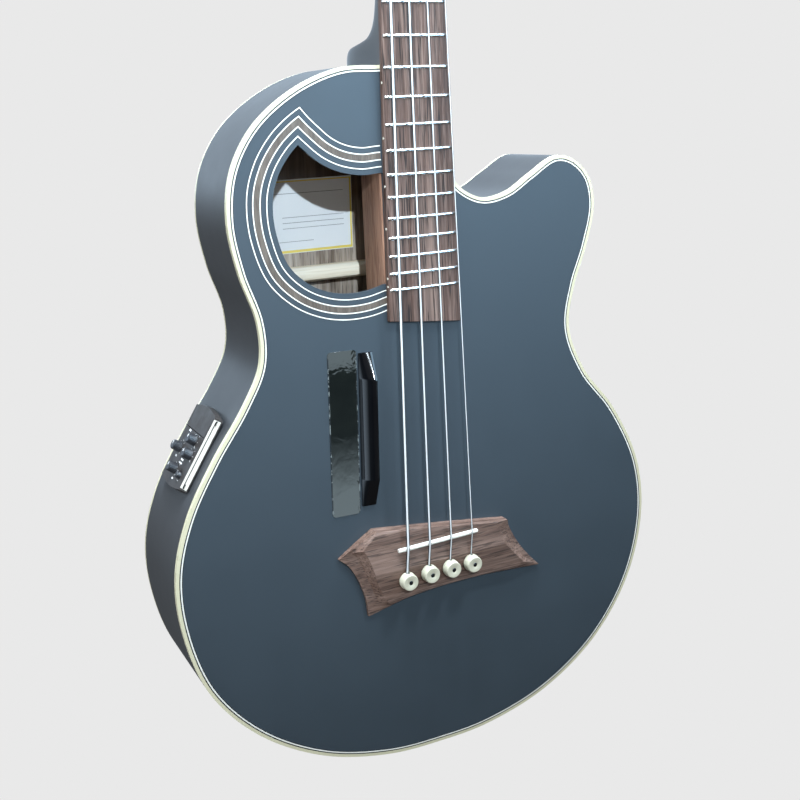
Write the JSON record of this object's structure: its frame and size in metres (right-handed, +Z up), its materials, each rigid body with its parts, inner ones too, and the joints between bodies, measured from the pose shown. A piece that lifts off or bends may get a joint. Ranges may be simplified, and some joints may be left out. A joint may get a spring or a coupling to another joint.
{
  "type": "acoustic bass guitar",
  "caption": "Acoustic bass guitar with a cutaway body, an off-centre soundhole, a ramped thumb rest, a preamp in the rim and geared tuners.",
  "frame": {"origin": "centre of the outer face of the tail strap pin", "axes": "+Z up the neck towards the headstock, -Y out of the front, +X towards the treble side"},
  "size_m": [0.4492, 0.1256, 1.2859],
  "materials": {
    "top_finish": "satin black lacquer",
    "side_finish": "satin black lacquer",
    "back_wood": "oiled hardwood",
    "binding": "polished cream",
    "pale_wood": "bare spruce",
    "block_wood": "bare mahogany",
    "paper": "uncoated paper",
    "rosette_wood": "inlaid strips in clear lacquer",
    "bridge_wood": "oiled dark hardwood",
    "board_wood": "oiled dark hardwood with nickel frets",
    "bone": "polished bone white",
    "string_steel": "round wound bright steel",
    "neck_finish": "satin black lacquer",
    "rod_steel": "plain steel",
    "gloss_black": "polished",
    "clear_film": "very glossy",
    "panel_grey": "fine textured",
    "knob_black": "satin",
    "battery_skin": "printed metal jacket",
    "chrome": "bright plated"
  },
  "bodies": {
    "instrument": {"truss_rod_cover": "gloss_black", "tuner_base_e": "chrome", "tuner_base_a": "chrome", "tuner_base_d": "chrome", "tuner_base_g": "chrome", "preamp_panel": "panel_grey", "preamp_housing": "knob_black", "soundboard": "top_finish", "rosette": "rosette_wood", "back_plate": "back_wood", "top_binding": "binding", "back_binding": "binding", "side_rim_bass": "side_finish", "side_rim_treble": "side_finish", "top_lining": "pale_wood", "back_lining": "pale_wood", "neck_block": "block_wood", "tail_block": "block_wood", "back_brace_upper": "pale_wood", "back_brace_middle": "pale_wood", "back_brace_lower": "pale_wood", "x_brace_bass": "pale_wood", "x_brace_treble": "pale_wood", "upper_face_brace": "pale_wood", "bridge_plate": "pale_wood", "paper_label": "paper", "fingerboard": "board_wood", "nut": "bone", "neck": "neck_finish", "truss_rod": "rod_steel", "bridge": "bridge_wood", "saddle": "bone", "bridge_pin_e": "bone", "bridge_pin_a": "bone", "bridge_pin_d": "bone", "bridge_pin_g": "bone", "string_e": "string_steel", "string_a": "string_steel", "string_d": "string_steel", "string_g": "string_steel", "thumb_rest": "gloss_black", "finger_film": "clear_film", "end_pin": "chrome", "strap_button": "chrome", "output_jack": "chrome"},
    "key_e": {"tuner_key_e": "chrome"},
    "post_e": {"tuner_post_e": "chrome"},
    "key_a": {"tuner_key_a": "chrome"},
    "post_a": {"tuner_post_a": "chrome"},
    "key_d": {"tuner_key_d": "chrome"},
    "post_d": {"tuner_post_d": "chrome"},
    "key_g": {"tuner_key_g": "chrome"},
    "post_g": {"tuner_post_g": "chrome"},
    "knob_volume": {"knob_volume": "knob_black"},
    "knob_bass": {"knob_bass": "knob_black"},
    "knob_middle": {"knob_middle": "knob_black"},
    "knob_treble": {"knob_treble": "knob_black"},
    "button": {"preamp_button": "knob_black"},
    "battery_tray": {"battery_drawer": "panel_grey", "battery": "battery_skin"}
  },
  "joints": [
    {"name": "key_e_turn", "type": "hinge", "parent": "instrument", "child": "key_e", "pos_m": [-0.024, -0.00717, 1.15645], "axis": [-1, 0, 0], "continuous": true},
    {"name": "post_e_turn", "type": "hinge", "parent": "instrument", "child": "post_e", "pos_m": [-0.024, -0.02967, 1.14569], "axis": [0, -0.9877, 0.1564], "continuous": true},
    {"name": "key_a_turn", "type": "hinge", "parent": "instrument", "child": "key_a", "pos_m": [-0.024, 0.00535, 1.23546], "axis": [-1, 0, 0], "continuous": true},
    {"name": "post_a_turn", "type": "hinge", "parent": "instrument", "child": "post_a", "pos_m": [-0.024, -0.01716, 1.2247], "axis": [0, -0.9877, 0.1564], "continuous": true},
    {"name": "key_d_turn", "type": "hinge", "parent": "instrument", "child": "key_d", "pos_m": [0.024, 0.00535, 1.23546], "axis": [1, 0, 0], "continuous": true},
    {"name": "post_d_turn", "type": "hinge", "parent": "instrument", "child": "post_d", "pos_m": [0.024, -0.01716, 1.2247], "axis": [0, -0.9877, 0.1564], "continuous": true},
    {"name": "key_g_turn", "type": "hinge", "parent": "instrument", "child": "key_g", "pos_m": [0.024, -0.00717, 1.15645], "axis": [1, 0, 0], "continuous": true},
    {"name": "post_g_turn", "type": "hinge", "parent": "instrument", "child": "post_g", "pos_m": [0.024, -0.02967, 1.14569], "axis": [0, -0.9877, 0.1564], "continuous": true},
    {"name": "knob_volume_turn", "type": "hinge", "parent": "instrument", "child": "knob_volume", "pos_m": [-0.18733, -0.00299, 0.32123], "axis": [-0.8371, 0, 0.5471], "range_deg": [-150, 150]},
    {"name": "knob_bass_turn", "type": "hinge", "parent": "instrument", "child": "knob_bass", "pos_m": [-0.19379, 0.02009, 0.31135], "axis": [-0.8371, 0, 0.5471], "range_deg": [-150, 150]},
    {"name": "knob_middle_turn", "type": "hinge", "parent": "instrument", "child": "knob_middle", "pos_m": [-0.19341, -0.00821, 0.31193], "axis": [-0.8371, 0, 0.5471], "range_deg": [-150, 150]},
    {"name": "knob_treble_turn", "type": "hinge", "parent": "instrument", "child": "knob_treble", "pos_m": [-0.20232, 0.0078, 0.2983], "axis": [-0.8371, 0, 0.5471], "range_deg": [-150, 150]},
    {"name": "button_press", "type": "slide", "parent": "instrument", "child": "button", "axis": [0.8371, 0, -0.5471], "range_m": [0, 0.0012], "stiffness_N_per_m": 300, "springref_m": -0.001},
    {"name": "battery_slide", "type": "slide", "parent": "instrument", "child": "battery_tray", "axis": [-0.8371, 0, 0.5471], "range_m": [0, 0.045]}
  ],
  "couplings": [
    {"joint": "post_e_turn", "follows": "key_e_turn", "ratio": -0.05},
    {"joint": "post_a_turn", "follows": "key_a_turn", "ratio": -0.05},
    {"joint": "post_d_turn", "follows": "key_d_turn", "ratio": 0.05},
    {"joint": "post_g_turn", "follows": "key_g_turn", "ratio": 0.05}
  ]
}
